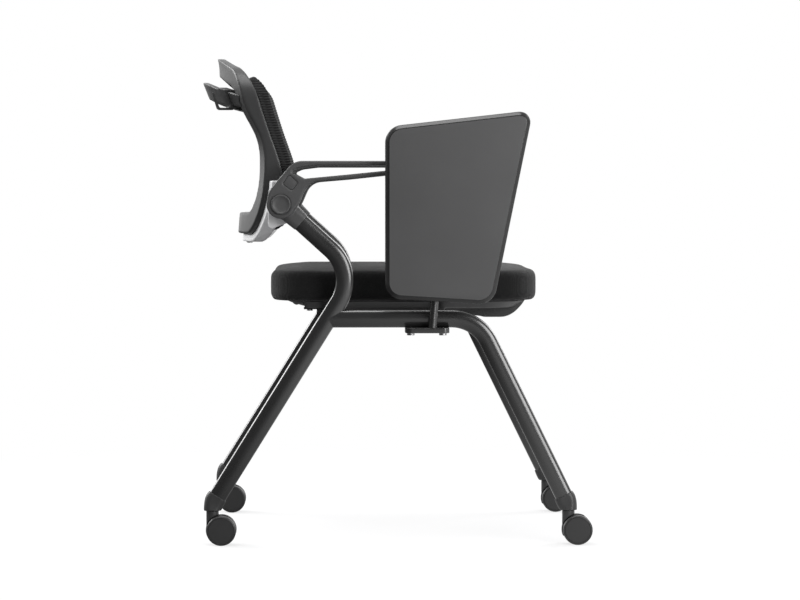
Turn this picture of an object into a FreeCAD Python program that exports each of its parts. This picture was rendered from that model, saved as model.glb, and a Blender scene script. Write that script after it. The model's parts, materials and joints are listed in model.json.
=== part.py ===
import FreeCAD, Part
import math
import os

# Nesting training chair on casters with a flip-up seat and a swing-over writing tablet.
# Millimetres: X forward, Y to the sitter's left, Z up, floor at Z 0, origin midway between the casters.

V = FreeCAD.Vector

# Fits
running_gap = 0.05
fixed_gap = 0.02
seat_gap = 0.3

# Widths that follow from the backrest: its frame, the carrier's rim and the armrests beside it
back_half_width = 222.0
yoke_rim = 13.6
lug_gap = 0.4
arm_width = 32.0
side_line = back_half_width + yoke_rim + lug_gap + arm_width / 2

# Side frames of flat-sided oval tube
tube_depth = 30.0
tube_width = 18.0
bend_radius = 70.0
foot_z = 74.0
hub_x = -184.0
hub_z = 573.0
knee_x = -57.0
knee_z = 458.0
rail_z = 381.0
front_corner_x = 146.0
wheelbase = 600.0
foot_inset = 3.8

# Cross tubes
cross_radius = 11.0
rear_cross_x = -109.0
front_cross_x = 80.0
cross_z = 378.0

# Leg sockets
socket_wall = 1.6
socket_reach = 10.0
socket_base_z = 58.0
socket_base_length = 14.5
socket_base_width = 12.5
stem_bore_depth = 13.6

# Casters
stem_radius = 5.5
stem_length = 13.0
caster_trail = 15.0
wheel_radius = 25.0
wheel_width = 16.0
wheel_edge = 3.0
wheel_dish_depth = 2.2
wheel_dish_inner = 9.0
wheel_dish_outer = 19.0
spine_half = 3.5
wheel_side_gap = 0.4
axle_radius = 4.0
axle_cover = 2.0
fork_gap = 1.4
fork_front_angle = 62.0
fork_rear_angle = 205.0
neck_radius = 10.5
neck_low_z = 27.0

# Armrests with the hub moulding
hub_radius = 24.0
arm_rise = 73.0
arm_reach = 256.0
arm_top_z = hub_z + arm_rise
arm_tip_x = hub_x + arm_reach
blade = 7.5
tip_round = 6.0
neck_round = 30.0
blade_sweep = 120.0
web_round = 5.0
window_tip = 20.0
window_tip_round = 1.2
window_heel = 16.0
window_heel_drop = 18.0

# Points of the armrest's outline, as shares of the hub radius, the rise and the reach
neck_lean = 0.875
neck_share = 0.3
shoulder_share = 0.92
throat_share = 1.25
chin_share = 0.5
crook_rise = 0.51
crook_reach = 0.18
sweep_drop = 0.41
sweep_reach = 0.45
window_reach = 0.13
window_drop = 0.31
arm_edge = 2.5
collar_wall = 3.0
collar_reach = 46.0
tube_start = 26.0
cap_radius = 16.5
cap_recess = 2.0
cap_dome = 2.6
plug_recess = 2.0
plug_gap = 0.25
plug_sink = 0.4
plug_forward = 16.0
plug_up = 36.5
plug_half_length = 14.5
plug_half_width = 13.5
plug_lean = 2.5
plug_round = 4.0
cap_ring = 3.5
cap_ring_edge = 1.2

# Recline pivot
pin_radius = 6.0
pin_reach = 24.0
bush_radius = 16.0
bush_length = 13.0
lug_thickness = 8.6

# Backrest: side levels give a height, the front face and the thickness
far_behind = -500.0
foot_level = (492.0, -196.0, 28.0)
heel_level = (560.0, -181.0, 38.0)
lumbar_level = (620.0, -180.0, 33.0)
waist_level = (690.0, -201.0, 19.0)
grip_level = (745.0, -219.0, 28.0)
shoulder_level = (793.0, -234.0, 20.0)
crown_level = (846.0, -251.0, 18.0)
back_bow = 42.0
back_bottom_z = 522.0
back_shoulder_z = 797.0
back_crown_z = 838.0
back_corner = 60.0
back_low_corner = 80.0
back_arch_radius = 3 * back_half_width
back_border = 26.0
back_foot_rail = 36.0
back_top_rail = 29.0
window_corner = 36.0
window_low_corner = 56.0
window_crown = 40.0
mesh_thickness = 19.0
mesh_gap = 0.2
mesh_top_bow = 22.0
mesh_inset = 7.0
mesh_top_z = 790.0
handle_end_inset = 10.0
handle_half_span = back_half_width - handle_end_inset
handle_end_low_z = 736.0
handle_end_high_z = 758.0
handle_low_crown = 24.0
handle_high_crown = 38.0
handle_rear_x = -306.0
handle_end_x = -247.0
handle_wall = 10.0
handle_lean = 0.4
hook_line = 165.0
hook_width = 26.0
hook_wall = 3.5
hook_drop = 3.0
hook_reach = 28.0
hook_bar = 4.0
hook_rise = 27.0
hook_round = 5.0

# Back carrier
yoke_gap = 0.3
yoke_rear_trim = 9.0
yoke_high_z = 613.0
wing_reach = 14.0
wing_drop = 30.0
screw_radius = 2.5
screw_head_radius = 5.0
screw_head_height = 3.0
carrier_screw_pitch = 60.0
carrier_screw_x = -203.0
carrier_screw_length = 30.0

# Seat
seat_rear_x = -208.0
seat_front_x = 257.0
seat_side_gap = 28.0
seat_half_width = side_line - seat_side_gap
cushion_low_z = 409.0
cushion_high_z = 465.0
seat_front_corner = 95.0
seat_rear_corner = 75.0
seat_side_draw = 5.0
cushion_roll = 12.0
cushion_tuck = 8.0
roll_steps = 4
pan_low_z = 396.0
pan_inset = 22.0
pan_taper = 18.0
pan_skin = 4.0
pan_rib = 4.0
lip_low_z = 376.0
lip_rear_x = 160.0
lip_half_width = 150.0
lip_flat = 30.0
lip_chin = 38.0
lip_rise = 8.0
lip_root = 4.0
stop_lug_line = 60.0
stop_lug_half = 9.0
stop_lug_inset = 40.0
stop_lug_length = 26.0
stop_lug_drop = 8.0
pocket_columns = 5
pocket_rear_x = -70.0
pocket_break_x = 80.0
pocket_break_half = 20.0
bracket_inset = 84.0
bracket_line = seat_half_width - bracket_inset
bracket_width = 36.0
bracket_wall = 5.0
flange_length = 76.0
flange_thickness = 3.0
seat_screw_pitch = 56.0
seat_screw_length = 9.0
buffer_size = 26.0

# Writing tablet and its post
pivot_forward = 20.0
pivot_outward = 28.0
pivot_x = arm_tip_x + pivot_forward
pivot_y = -side_line - pivot_outward
pivot_z = 655.0
knuckle_radius = 14.0
knuckle_length = 24.0
pivot_pin_radius = 5.0
pivot_pin_inner = 20.0
pivot_pin_outer = 9.0
post_radius = 7.0
post_rake = 23.0
post_outward = 24.0
post_base_x = pivot_x - post_rake
post_line = side_line + post_outward
post_reach = 10.0
clamp_rear = 45.0
clamp_front = 29.0
clamp_x_low = post_base_x - clamp_rear
clamp_x_high = post_base_x + clamp_front
clamp_thickness = 8.0
clamp_wrap = 0.8
clamp_overhang = 7.0
clamp_corner = 10.0
clamp_bolt_radius = 4.0
clamp_bolt_head_radius = 6.5
clamp_bolt_head = 5.0
clamp_bolt_margin = 10.0
clamp_bolt_bite = 8.0
plate_offset = 11.0
plate_thickness = 3.0
plate_corner = 12.0
plate_half_width = 34.0
plate_low_z = 624.0
plate_high_z = 700.0
plate_screw_margin = 9.0
plate_screw_length = 10.0
board_thickness = 18.0
board_bevel = 7.0
board_corner = 24.0
board_rear = 102.0
board_top_front = 144.0
board_low_front = 78.0
board_rear_x = pivot_x - board_rear
board_top_front_x = pivot_x + board_top_front
board_low_front_x = pivot_x + board_low_front
board_top_rear_z = 702.0
board_top_front_z = 730.0
board_low_rear_z = 417.0
board_low_front_z = 406.0


def side_point(u, v):
    """Place a side-view point on the centre plane."""
    return V(u, 0, v)


def front_point(u, v):
    """Place a front-view point at X 0."""
    return V(0, u, v)


def rounded_wire(corners, place):
    """Closed wire through corners (u, v, radius), each corner rounded by a tangent arc."""
    count = len(corners)
    runs = []
    for index in range(count):
        here = V(corners[index][0], corners[index][1], 0)
        before = V(*corners[index - 1][:2], 0) - here
        after = V(*corners[(index + 1) % count][:2], 0) - here
        radius = corners[index][2]
        before.normalize()
        after.normalize()
        half = before.getAngle(after) / 2
        trim = radius / math.tan(half)
        middle = before + after
        if radius > 0 and middle.Length > 1e-9:
            middle.normalize()
            tip = here + middle * (radius / math.sin(half) - radius)
            runs.append((here + before * trim, tip, here + after * trim))
        else:
            runs.append((here, None, here))
    edges = []
    for index in range(count):
        start, tip, end = [None if p is None else place(p.x, p.y) for p in runs[index]]
        following = runs[(index + 1) % count][0]
        follow = place(following.x, following.y)
        if tip is not None:
            edges.append(Part.Arc(start, tip, end).toShape())
        if end.distanceToPoint(follow) > 1e-6:
            edges.append(Part.LineSegment(end, follow).toShape())
    return Part.Wire(edges)


def side_prism(corners, low_y, high_y):
    """Side-view outline pushed from low_y to high_y."""
    face = Part.Face(rounded_wire(corners, side_point))
    face.translate(V(0, low_y, 0))
    return face.extrude(V(0, high_y - low_y, 0))


def front_prism(corners, low_x, high_x):
    """Front-view outline pushed from low_x to high_x."""
    face = Part.Face(rounded_wire(corners, front_point))
    face.translate(V(low_x, 0, 0))
    return face.extrude(V(high_x - low_x, 0, 0))


def box(low, high):
    """Box between two corners."""
    size = high - low
    return Part.makeBox(size.x, size.y, size.z, low)


def rod(start, end, radius):
    """Round bar between two points."""
    axis = end - start
    return Part.makeCylinder(radius, axis.Length, start, axis)


def oval(center, along, half_long, half_wide):
    """Flat-sided oval wire about a centre, long way in the side plane and square to along."""
    across = V(0, 1, 0)
    long_way = across.cross(along)
    long_way.normalize()
    reach = long_way * (half_long - half_wide)
    side = across * half_wide
    end = long_way * half_long
    return Part.Wire([
        Part.LineSegment(center - reach + side, center + reach + side).toShape(),
        Part.Arc(center + reach + side, center + end, center + reach - side).toShape(),
        Part.LineSegment(center + reach - side, center - reach - side).toShape(),
        Part.Arc(center - reach - side, center - end, center - reach + side).toShape(),
    ])


def mirrored(shape):
    """Copy of a shape on the other side of the centre plane."""
    return shape.mirror(V(0, 0, 0), V(0, 1, 0))


def bent_tube(start, corner, end):
    """Oval tube from start to end with one bend at the corner."""
    first = start - corner
    second = end - corner
    first.normalize()
    second.normalize()
    half = first.getAngle(second) / 2
    trim = bend_radius / math.tan(half)
    middle = first + second
    middle.normalize()
    arc_start = corner + first * trim
    arc_end = corner + second * trim
    arc_middle = corner + middle * (bend_radius / math.sin(half) - bend_radius)
    edges = [
        Part.LineSegment(start, arc_start).toShape(),
        Part.Arc(arc_start, arc_middle, arc_end).toShape(),
        Part.LineSegment(arc_end, end).toShape(),
    ]
    section = oval(start, corner - start, tube_depth / 2, tube_width / 2)
    return Part.Wire(edges).makePipeShell([section], True, False)


def side_frame_points():
    """Corner points of the right side frame's two tubes; the feet stand over the caster stems."""
    line = -side_line
    hub = V(hub_x, line, hub_z)
    knee = V(knee_x, line, knee_z)
    upper = knee - hub
    upper.normalize()
    foot_x = wheelbase / 2 - foot_inset
    rear_foot = V(-foot_x, line, foot_z)
    joint = knee + (rear_foot - knee) * ((knee_z - rail_z) / (knee_z - foot_z))
    front_corner = V(front_corner_x, line, rail_z)
    front_foot = V(foot_x, line, foot_z)
    return hub, upper, knee, rear_foot, joint, front_corner, front_foot


hub, upper_run, knee, rear_foot, rail_joint, front_corner, front_foot = side_frame_points()


def rear_tube():
    """Right rear tube, from the hub collar over the knee down to the rear foot."""
    return bent_tube(hub + upper_run * tube_start, knee, rear_foot)


def front_tube():
    """Right front tube, from its weld on the rear tube along the rail and down to the front foot."""
    return bent_tube(rail_joint, front_corner, front_foot).cut(rear_tube())


def cross_tube(x):
    """Round cross tube, coped to the side tubes."""
    reach = V(0, side_line, 0)
    center = V(x, 0, cross_z)
    tube = rod(center - reach, center + reach, cross_radius)
    for side in (rear_tube(), front_tube()):
        tube = tube.cut(side).cut(mirrored(side))
    return max(tube.Solids, key=lambda solid: solid.Volume)


def leg_socket(foot, corner, stem_x):
    """Moulded foot that takes a leg's end and the caster's stem."""
    along = foot - corner
    along.normalize()
    half_long = tube_depth / 2 + socket_wall
    half_wide = tube_width / 2 + socket_wall
    base = V(stem_x, foot.y, socket_base_z)
    sections = [
        oval(foot - along * socket_reach, along, half_long, half_wide),
        oval(foot, along, half_long + socket_wall / 2, half_wide),
        oval(base, V(0, 0, -1), socket_base_length, socket_base_width),
    ]
    body = Part.makeLoft(sections, True, False)
    mouth = oval(foot - along * (socket_reach + tube_depth), along,
                 tube_depth / 2 + fixed_gap, tube_width / 2 + fixed_gap)
    tube_hole = Part.Face(mouth).extrude(along * (socket_reach + tube_depth))
    bore = rod(base - V(0, 0, 1), base + V(0, 0, stem_bore_depth), stem_radius + running_gap)
    return body.cut(tube_hole).cut(bore)


def arm_outline():
    """Side-view corners of the armrest: hub neck, top blade, tip and lower blade."""
    chin = hub_radius * chin_share
    return [
        (hub_x - hub_radius, hub_z, 0),
        (hub_x - hub_radius * neck_lean, hub_z + arm_rise * neck_share, neck_round),
        (hub_x + hub_radius * shoulder_share, arm_top_z, neck_round),
        (arm_tip_x, arm_top_z, tip_round),
        (arm_tip_x, arm_top_z - 2 * blade, tip_round),
        (hub_x + arm_reach * sweep_reach, arm_top_z - arm_rise * sweep_drop, blade_sweep),
        (hub_x + arm_reach * crook_reach, hub_z + arm_rise * crook_rise, neck_round),
        (hub_x + hub_radius * throat_share, hub_z, neck_round),
        (hub_x + hub_radius - chin / 3, hub_z - chin, chin / 2),
        (hub_x, hub_z, 0),
    ]


def arm_window():
    """Side-view corners of the opening between the two blades."""
    under_top = arm_top_z - blade
    low_z = arm_top_z - arm_rise * sweep_drop
    return [
        (hub_x + window_heel, arm_top_z - window_heel_drop, web_round / 2),
        (hub_x + hub_radius * throat_share, under_top - blade / 2, neck_round),
        (hub_x + hub_radius * throat_share * 2, under_top, blade_sweep / 6),
        (arm_tip_x - window_tip, under_top, window_tip_round),
        (arm_tip_x - window_tip * 3 / 2, arm_top_z - blade * 3 / 2, web_round),
        (hub_x + arm_reach * sweep_reach, arm_top_z - arm_rise * window_drop, blade_sweep),
        (hub_x + arm_reach * window_reach + web_round, low_z, web_round),
    ]


def plug_outline(grow):
    """Side-view corners of the shallow recess between hub and blades."""
    x = hub_x + plug_forward
    z = hub_z + plug_up
    return [
        (x - plug_lean, z + plug_half_length + grow, plug_round),
        (x + plug_half_width + grow, z, plug_round),
        (x + plug_lean, z - plug_half_length - grow, plug_round),
        (x - plug_half_width - grow, z - plug_lean, plug_round),
    ]


def rounded_rims(solid, radius, low_y, high_y):
    """Round the outline edges that lie on the two flat side faces."""
    rims = []
    for edge in solid.Edges:
        box_y = (edge.BoundBox.YMin, edge.BoundBox.YMax)
        flat = abs(box_y[0] - box_y[1]) < 1e-4
        if flat and (abs(box_y[0] - low_y) < 1e-4 or abs(box_y[0] - high_y) < 1e-4):
            rims.append(edge)
    return solid.makeFillet(radius, rims)


def armrest():
    """Right armrest: hub, two blades that meet at the tip, tube collar and recesses."""
    low_y = -side_line - arm_width / 2
    high_y = -side_line + arm_width / 2
    disc = rod(V(hub_x, low_y, hub_z), V(hub_x, high_y, hub_z), hub_radius)
    body = side_prism(arm_outline(), low_y, high_y).fuse(disc)
    body = body.cut(side_prism(arm_window(), low_y - 1, high_y + 1)).removeSplitter()
    body = rounded_rims(body.Solids[0], arm_edge, low_y, high_y)
    collar = oval(hub, upper_run, tube_depth / 2 + collar_wall, tube_width / 2 + collar_wall)
    body = body.fuse(Part.Face(collar).extrude(upper_run * collar_reach)).removeSplitter()
    mouth = oval(hub + upper_run * tube_start, upper_run,
                 tube_depth / 2 + fixed_gap, tube_width / 2 + fixed_gap)
    body = body.cut(Part.Face(mouth).extrude(upper_run * collar_reach))
    body = body.cut(rod(V(hub_x, low_y - 1, hub_z), V(hub_x, low_y + cap_recess, hub_z),
                        cap_radius + fixed_gap))
    body = body.cut(side_prism(plug_outline(plug_gap), low_y - 1, low_y + plug_recess))
    chamber = rod(V(hub_x, high_y - bush_length, hub_z), V(hub_x, high_y + 1, hub_z),
                  bush_radius + fixed_gap)
    pin_hole = rod(V(hub_x, high_y - pin_reach, hub_z), V(hub_x, high_y + 1, hub_z),
                   pin_radius + fixed_gap)
    return body.cut(chamber).cut(pin_hole)


def hub_cap():
    """Right hub cap: a disc with a raised ring and a shallow domed middle."""
    face_y = -side_line - arm_width / 2
    ring = cap_radius - cap_ring
    profile = [
        V(0, 0, 0),
        V(cap_radius, 0, 0),
        V(cap_radius, cap_recess + cap_dome / 2, 0),
        V(cap_radius - cap_ring_edge, cap_recess + cap_dome, 0),
        V(ring + cap_ring_edge, cap_recess + cap_dome, 0),
        V(ring, cap_recess + cap_dome / 2, 0),
        V(ring / 2, cap_recess + cap_dome * 0.8, 0),
        V(0, cap_recess + cap_dome, 0),
        V(0, 0, 0),
    ]
    cap = Part.Face(Part.makePolygon(profile)).revolve(V(0, 0, 0), V(0, 1, 0), 360)
    cap.rotate(V(0, 0, 0), V(0, 0, 1), 180)
    cap.translate(V(hub_x, face_y + cap_recess, hub_z))
    return cap


def arm_plug():
    """Right recess plug, flush with the moulding's outer face."""
    low_y = -side_line - arm_width / 2
    return side_prism(plug_outline(0.0), low_y + plug_sink, low_y + plug_recess)


def lug_inner_y():
    """Distance from the centre plane to the inner face of a carrier lug."""
    return side_line - arm_width / 2 - lug_gap - lug_thickness


def pivot_pin():
    """Right recline pin, held in the hub and carrying the carrier's lug."""
    high_y = -side_line + arm_width / 2
    return rod(V(hub_x, high_y - pin_reach, hub_z), V(hub_x, -lug_inner_y(), hub_z), pin_radius)


def recline_bush():
    """Right rubber torsion bush inside the hub, round the pin."""
    high_y = -side_line + arm_width / 2
    start = V(hub_x, high_y - bush_length, hub_z)
    end = V(hub_x, high_y, hub_z)
    return rod(start, end, bush_radius).cut(rod(start, end, pin_radius + fixed_gap))


def back_side_profile():
    """Height, front X and rear X of the back frame at its outer sides."""
    levels = [foot_level, heel_level, lumbar_level, waist_level, grip_level, shoulder_level, crown_level]
    return [(height, front_x, front_x - thickness) for height, front_x, thickness in levels]


def sag(bow, half_width):
    """How far an arc that bows by bow over the back's width has come forward at half_width."""
    radius = (back_half_width ** 2 + bow ** 2) / (2 * bow)
    return radius - math.sqrt(radius ** 2 - half_width ** 2)


def bowed_band(levels, half_width):
    """Curved slab from (height, front X, rear X, bow) levels: plan arcs lofted upwards."""
    sections = []
    for height, front_x, rear_x, bow in levels:
        rise = sag(bow, half_width)
        front_mid = V(front_x - bow, 0, height)
        rear_mid = V(rear_x - bow, 0, height)
        low, high = V(rise, -half_width, 0), V(rise, half_width, 0)
        sections.append(Part.Wire([
            Part.Arc(front_mid + low, front_mid, front_mid + high).toShape(),
            Part.LineSegment(front_mid + high, rear_mid + high).toShape(),
            Part.Arc(rear_mid + high, rear_mid, rear_mid + low).toShape(),
            Part.LineSegment(rear_mid + low, front_mid + low).toShape(),
        ]))
    return Part.makeLoft(sections, True, False)


def frame_levels(rear_trim=0.0):
    """Levels of the back frame's slab, its rear face brought forward by rear_trim."""
    return [(height, front_x, rear_x + rear_trim, back_bow)
            for height, front_x, rear_x in back_side_profile()]


def mesh_levels():
    """Levels of the back panel: it lies on the frame's front and is pulled flatter towards the top."""
    low_z = back_bottom_z
    rise = mesh_top_z - low_z
    return [(height, front_x + mesh_thickness, front_x + mesh_gap,
             back_bow + (mesh_top_bow - back_bow) * (height - low_z) / rise)
            for height, front_x, rear_x in back_side_profile()]


def back_outline(grow):
    """Front-view corners of the backrest, arched along the top."""
    half = back_half_width + grow
    return [
        (-half, back_bottom_z - grow, back_low_corner + grow),
        (half, back_bottom_z - grow, back_low_corner + grow),
        (half, back_shoulder_z + grow, back_corner + grow),
        (0, back_crown_z + grow, back_arch_radius),
        (-half, back_shoulder_z + grow, back_corner + grow),
    ]


def back_window():
    """Front-view corners of the frame's opening, arched under the top rail."""
    half = back_half_width - back_border
    high_z = back_shoulder_z - back_top_rail
    low_z = back_bottom_z + back_foot_rail
    return [
        (-half, low_z, window_low_corner),
        (half, low_z, window_low_corner),
        (half, high_z, window_corner),
        (0, high_z + window_crown, back_arch_radius),
        (-half, high_z, window_corner),
    ]


def back_frame():
    """Moulded back frame: rounded border, arched top rail and foot rail."""
    body = bowed_band(frame_levels(), back_half_width)
    body = body.common(front_prism(back_outline(0), far_behind, 0))
    body = body.cut(front_prism(back_window(), far_behind, 0))
    return carrier_screw_holes(body).Solids[0]


def back_mesh():
    """Ribbed knit back panel, stretched over the front of the frame."""
    half = back_half_width - mesh_inset
    low_z = back_bottom_z + mesh_inset
    outline = [
        (-half, low_z, back_low_corner),
        (half, low_z, back_low_corner),
        (half, mesh_top_z, back_corner / 2),
        (-half, mesh_top_z, back_corner / 2),
    ]
    return bowed_band(mesh_levels(), back_half_width).common(front_prism(outline, far_behind, 0))


def handle_bar(grow):
    """Arched grip bar, bowed and leaning to the rear, grown all round by grow."""
    inner_x = handle_wall + grow
    low = -handle_half_span
    ends = [V(handle_end_x, side * handle_half_span, 0) for side in (-1, 1)]
    middle = V(handle_rear_x, 0, 0)
    back = V(-grow, 0, 0)
    front = V(inner_x, 0, 0)
    plan = Part.Wire([
        Part.Arc(ends[0] + back, middle + back, ends[1] + back).toShape(),
        Part.LineSegment(ends[1] + back, ends[1] + front).toShape(),
        Part.Arc(ends[1] + front, middle + front, ends[0] + front).toShape(),
        Part.LineSegment(ends[0] + front, ends[0] + back).toShape(),
    ])
    plan.translate(V(handle_lean * handle_end_low_z, 0, 0))
    slab = Part.Face(plan).extrude(V(-handle_lean * back_crown_z, 0, back_crown_z))
    arch = front_prism([
        (low, handle_end_low_z - grow, 0),
        (0, handle_end_low_z - grow + handle_low_crown, back_arch_radius),
        (-low, handle_end_low_z - grow, 0),
        (-low, handle_end_high_z + grow, 0),
        (0, handle_end_high_z + grow + handle_high_crown, back_arch_radius),
        (low, handle_end_high_z + grow, 0),
    ], far_behind, 0)
    return slab.common(arch)


def back_handle():
    """Grip bar behind the panel, its ends trimmed to the frame's uprights."""
    bar = handle_bar(0).cut(bowed_band(frame_levels(), back_half_width)
                            .cut(front_prism(back_window(), far_behind, 0)))
    return max(bar.Solids, key=lambda solid: solid.Volume)


def sag_of_handle():
    """How far forward the handle bar has come at the hook, from its rearmost point."""
    depth = handle_end_x - handle_rear_x
    radius = (handle_half_span ** 2 + depth ** 2) / (2 * depth)
    return radius - math.sqrt(radius ** 2 - hook_line ** 2)


def bag_hook():
    """Clip strapped round the handle bar, with an upturned hook behind it."""
    low_y = -hook_line - hook_width / 2
    slice_box = box(V(far_behind, low_y, 0), V(0, low_y + hook_width, back_crown_z))
    clip = handle_bar(hook_wall).common(slice_box).cut(handle_bar(0))
    low = clip.BoundBox.ZMin
    foot = low - hook_drop
    heel = handle_rear_x + sag_of_handle()
    tip = heel - hook_reach
    lip = side_prism([
        (heel + handle_wall, low + hook_wall, 0),
        (heel + hook_bar, foot, hook_round),
        (tip + hook_round, foot, hook_round),
        (tip - hook_bar, low + hook_rise, hook_bar / 3),
        (tip, low + hook_rise, hook_bar / 3),
        (tip + hook_round + hook_bar, foot + hook_bar, hook_bar),
        (heel, foot + hook_bar, hook_bar),
        (heel + hook_bar, low + hook_wall, 0),
    ], low_y + hook_width / 4, low_y + hook_width * 3 / 4)
    return clip.fuse(lip.cut(handle_bar(0))).removeSplitter().Solids[0]


def carrier_screw_places():
    """Points where the carrier's screws enter from below."""
    places = []
    for step in (-1, 0, 1):
        y = step * carrier_screw_pitch
        x = carrier_screw_x - back_bow + sag(back_bow, abs(y))
        places.append(V(x, y, back_bottom_z - yoke_rim))
    return places


def carrier_screw_holes(shape):
    """Cut the carrier screws' holes."""
    for place in carrier_screw_places():
        shape = shape.cut(rod(place - V(0, 0, 1), place + V(0, 0, carrier_screw_length),
                              screw_radius + fixed_gap))
    return shape


def screw(place, axis, length):
    """Round-headed screw: head below the place, shank along the axis."""
    head = rod(place - axis * screw_head_height, place, screw_head_radius)
    return head.fuse(rod(place, place + axis * length, screw_radius)).removeSplitter()


def carrier_screws():
    """Screws that hold the back frame down on the carrier."""
    return Part.makeCompound([screw(place, V(0, 0, 1), carrier_screw_length)
                              for place in carrier_screw_places()])


def carrier_lug():
    """Right end of the carrier: eye on the recline pin and the wing under it."""
    low_y = -lug_inner_y() - lug_thickness
    high_y = -lug_inner_y()
    eye_radius = hub_radius - 2
    eye = rod(V(hub_x, low_y, hub_z), V(hub_x, high_y, hub_z), eye_radius)
    wing = side_prism([
        (hub_x - eye_radius, hub_z, 0),
        (hub_x + eye_radius / 2, hub_z - eye_radius / 2, 0),
        (hub_x + wing_reach, hub_z - wing_drop, 3),
        (hub_x - eye_radius, hub_z - wing_drop - yoke_rim, 6),
    ], low_y, high_y)
    return eye.fuse(wing)


def back_carrier():
    """Cast carrier: a bowed rim that cups the frame's foot between two pivot eyes."""
    half = back_half_width + yoke_rim
    band = bowed_band(frame_levels(yoke_rear_trim), half)
    rim = front_prism(back_outline(yoke_rim), far_behind, 0)
    rim = rim.cut(front_prism(back_outline(yoke_gap), far_behind, 0))
    rim = rim.common(box(V(far_behind, -half, 0), V(0, half, yoke_high_z)))
    body = band.common(rim).fuse([carrier_lug(), mirrored(carrier_lug())]).removeSplitter()
    reach = V(0, side_line, 0)
    center = V(hub_x, 0, hub_z)
    body = body.cut(rod(center - reach, center + reach, pin_radius + running_gap))
    return carrier_screw_holes(body).Solids[0]


def seat_wire(inset, height):
    """Plan outline of the seat, drawn in between rounded corners, shrunk by inset."""
    low_x = seat_rear_x + inset
    high_x = seat_front_x - inset
    half = seat_half_width - inset
    front = seat_front_corner - inset
    rear = seat_rear_corner - inset / 2
    draw = seat_side_draw
    nip = 1 - math.sqrt(0.5)

    def at(x, y):
        return V(x, y, height)

    def arc(a, b, c):
        return Part.Arc(a, b, c).toShape()

    mid_x = (low_x + high_x) / 2
    return Part.Wire([
        arc(at(low_x + rear, -half), at(mid_x, -half + draw), at(high_x - front, -half)),
        arc(at(high_x - front, -half), at(high_x - front * nip, -half + front * nip),
            at(high_x, -half + front)),
        arc(at(high_x, -half + front), at(high_x - draw / 2, 0), at(high_x, half - front)),
        arc(at(high_x, half - front), at(high_x - front * nip, half - front * nip),
            at(high_x - front, half)),
        arc(at(high_x - front, half), at(mid_x, half - draw), at(low_x + rear, half)),
        arc(at(low_x + rear, half), at(low_x + rear * nip, half - rear * nip),
            at(low_x, half - rear)),
        arc(at(low_x, half - rear), at(low_x + draw, 0), at(low_x, -half + rear)),
        arc(at(low_x, -half + rear), at(low_x + rear * nip, -half + rear * nip),
            at(low_x + rear, -half)),
    ])


def seat_cushion():
    """Upholstered seat pad: upright sides between a tucked lower edge and a rolled top edge."""
    turns = [math.radians(90 * step / roll_steps) for step in range(roll_steps + 1)]
    sections = [seat_wire(cushion_tuck * (1 - math.sin(turn)),
                          cushion_low_z + cushion_tuck * (1 - math.cos(turn))) for turn in turns]
    sections += [seat_wire(cushion_roll * (1 - math.cos(turn)),
                           cushion_high_z - cushion_roll * (1 - math.sin(turn))) for turn in turns]
    return Part.makeLoft(sections, True, True)


def seat_pan():
    """Moulded pan under the cushion: ribbed tray, deep front lip and rear stop lugs."""
    top_z = cushion_low_z
    tray = Part.makeLoft([seat_wire(pan_inset + pan_taper, pan_low_z), seat_wire(pan_inset, top_z)],
                         True, True)
    front_x = seat_front_x - pan_inset
    root_z = pan_low_z + lip_root
    lip = side_prism([
        (lip_rear_x, root_z, 0),
        (lip_rear_x, lip_low_z + lip_root / 2, lip_root),
        (lip_rear_x + lip_flat, lip_low_z, lip_rise),
        (front_x - lip_chin, pan_low_z - lip_rise, lip_chin),
        (front_x - pan_taper, root_z, 0),
    ], -lip_half_width, lip_half_width)
    lug_x = seat_rear_x + stop_lug_inset
    lugs = [side_prism([
        (lug_x, root_z, 0),
        (lug_x, pan_low_z - stop_lug_drop / 2, lip_root),
        (lug_x + stop_lug_drop, pan_low_z - stop_lug_drop, lip_root),
        (lug_x + stop_lug_length, root_z, 0),
    ], s * stop_lug_line - stop_lug_half, s * stop_lug_line + stop_lug_half) for s in (-1, 1)]
    body = tray.fuse([lip] + lugs).removeSplitter()
    first_y = -bracket_line + bracket_width / 2
    pitch = -2 * first_y / pocket_columns
    rows = ((pocket_rear_x, pocket_break_x - pocket_break_half),
            (pocket_break_x + pocket_break_half, lip_rear_x - pan_rib))
    for column in range(pocket_columns):
        low_y = first_y + column * pitch
        for low_x, high_x in rows:
            pocket = box(V(low_x, low_y + pan_rib / 2, pan_low_z - 1),
                         V(high_x, low_y + pitch - pan_rib / 2, top_z - pan_skin))
            body = body.cut(pocket)
    for place in seat_screw_places():
        body = body.cut(rod(place, place + V(0, 0, flange_thickness + seat_screw_length),
                            screw_radius + fixed_gap))
    return body.Solids[0]


def seat_screw_places():
    """Points under the hinge flanges where the seat screws enter."""
    return [V(rear_cross_x + fore * seat_screw_pitch / 2, s * bracket_line, pan_low_z - flange_thickness)
            for s in (-1, 1) for fore in (-1, 1)]


def seat_bracket():
    """Right seat hinge: a sleeve round the rear cross tube with a flange under the pan."""
    low_y = -bracket_line - bracket_width / 2
    high_y = -bracket_line + bracket_width / 2
    center = V(rear_cross_x, 0, cross_z)
    sleeve = rod(center + V(0, low_y, 0), center + V(0, high_y, 0), cross_radius + bracket_wall)
    flange = box(V(rear_cross_x - flange_length / 2, low_y, pan_low_z - flange_thickness),
                 V(rear_cross_x + flange_length / 2, high_y, pan_low_z))
    neck_half = cross_radius + bracket_wall
    neck = box(V(rear_cross_x - neck_half, low_y, cross_z),
               V(rear_cross_x + neck_half, high_y, pan_low_z - flange_thickness))
    body = sleeve.fuse([neck, flange]).removeSplitter()
    body = body.cut(rod(center + V(0, low_y - 1, 0), center + V(0, high_y + 1, 0),
                        cross_radius + running_gap))
    for place in seat_screw_places():
        body = body.cut(rod(place - V(0, 0, 1), place + V(0, 0, flange_thickness + 1),
                            screw_radius + fixed_gap))
    return body


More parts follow.
